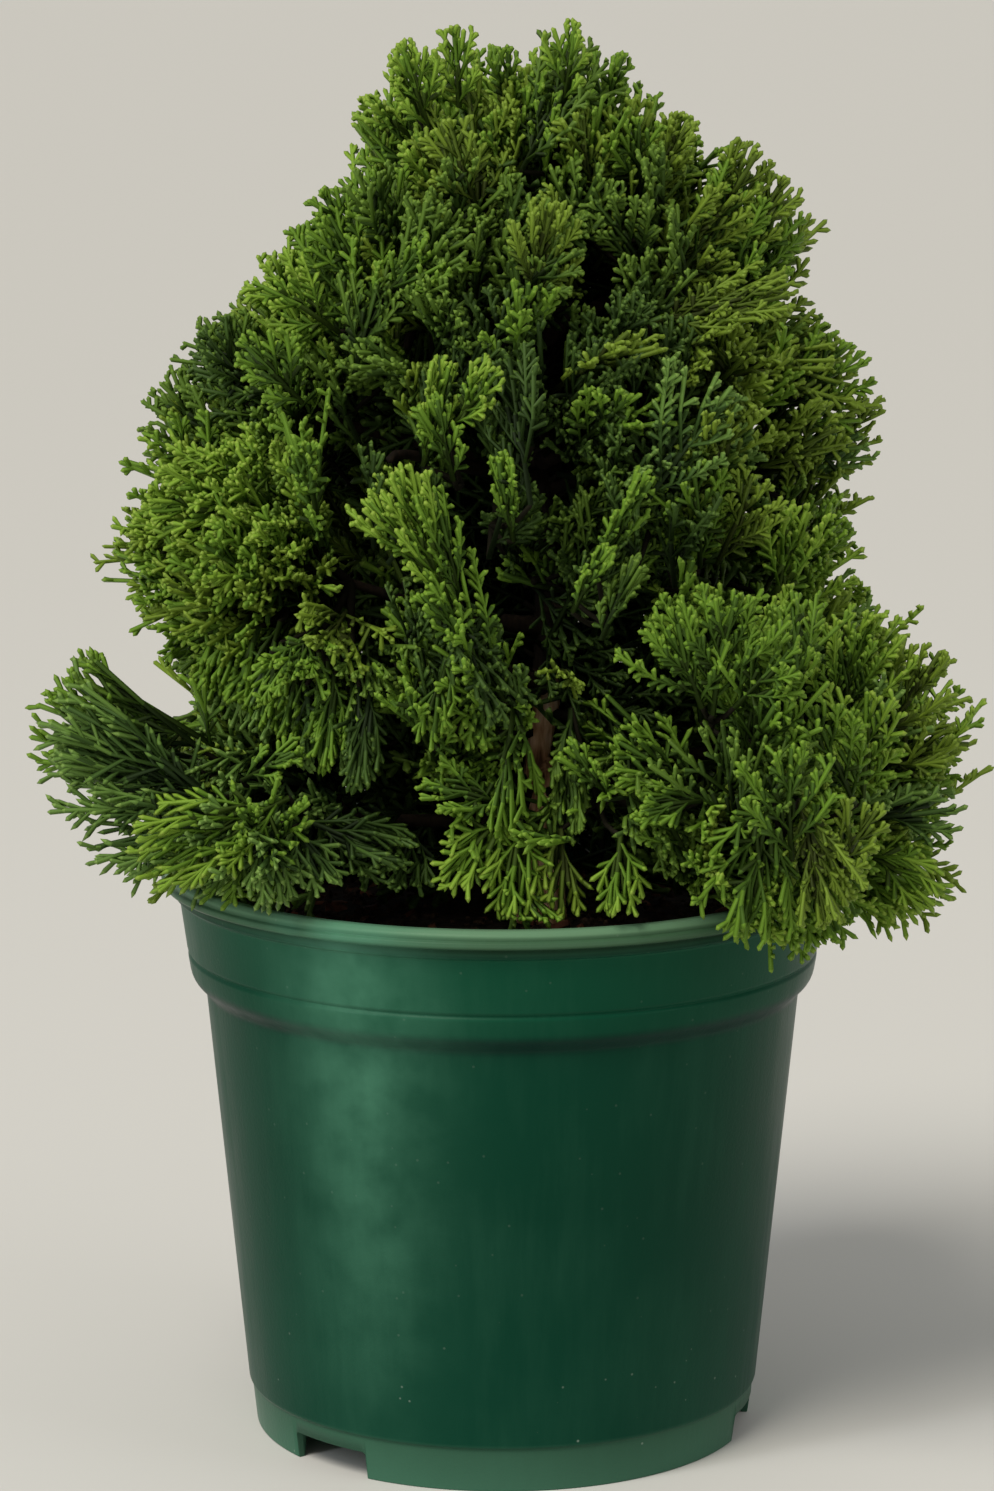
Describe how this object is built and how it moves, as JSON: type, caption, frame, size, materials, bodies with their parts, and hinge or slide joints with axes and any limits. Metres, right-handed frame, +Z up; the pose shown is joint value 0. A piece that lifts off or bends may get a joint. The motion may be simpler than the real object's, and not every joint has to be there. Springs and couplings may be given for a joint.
{
  "type": "dwarf hinoki cypress in a nursery pot",
  "caption": "Small dense evergreen conifer with shell-like sprays of scale leaves, in a round tapered nursery pot with a rolled lip.",
  "frame": {"origin": "centre of the flat disc under the pot, on the surface the pot stands on", "axes": "+Z up along the pot's axis to the crown's tip, -Y towards the front of the plant, +X to its right"},
  "size_m": [0.284, 0.2403, 0.4355],
  "materials": {
    "pot": "moulded polypropylene, satin, lightly scuffed",
    "soil": "dark peat and bark potting mix",
    "bark": "thin red-brown fibrous bark",
    "foliage": "scale-leaved sprays, yellow-green at the tips"
  },
  "bodies": {
    "root": {"bough_back_left": "bark", "bough_back_right": "bark", "bough_crown_back": "bark", "bough_crown_left": "bark", "bough_crown_right": "bark", "bough_flank_right": "bark", "bough_low_back": "bark", "bough_low_back_left": "bark", "bough_low_back_right": "bark", "bough_low_left": "bark", "bough_low_right": "bark", "bough_middle_right": "bark", "bough_shell_left": "bark", "bough_shoulder_left": "bark", "bough_shoulder_left_front": "bark", "bough_shoulder_right": "bark", "bough_shoulder_right_front": "bark", "bough_slope_back_left": "bark", "bough_slope_back_right": "bark", "bough_slope_left": "bark", "bough_slope_right": "bark", "bough_spray_centre": "bark", "mass_back_left": "foliage", "mass_back_right": "foliage", "mass_crown_back": "foliage", "mass_crown_left": "foliage", "mass_crown_right": "foliage", "mass_fan_right": "foliage", "mass_flank_right": "foliage", "mass_heart": "foliage", "mass_inner_left": "foliage", "mass_inner_right": "foliage", "mass_low_back": "foliage", "mass_low_back_left": "foliage", "mass_low_back_right": "foliage", "mass_low_front_left": "foliage", "mass_low_front_right": "foliage", "mass_low_left": "foliage", "mass_low_left_tip": "foliage", "mass_low_right": "foliage", "mass_low_right_front": "foliage", "mass_low_right_tip": "foliage", "mass_middle_right": "foliage", "mass_shell_left": "foliage", "mass_shoulder_left": "foliage", "mass_shoulder_left_front": "foliage", "mass_shoulder_right": "foliage", "mass_shoulder_right_front": "foliage", "mass_slope_back_left": "foliage", "mass_slope_back_right": "foliage", "mass_slope_front": "foliage", "mass_slope_left": "foliage", "mass_slope_right": "foliage", "mass_spray_centre": "foliage", "mass_spray_right": "foliage", "mass_spray_upper": "foliage", "pot": "pot", "soil": "soil", "trunk": "bark"}
  },
  "joints": []
}
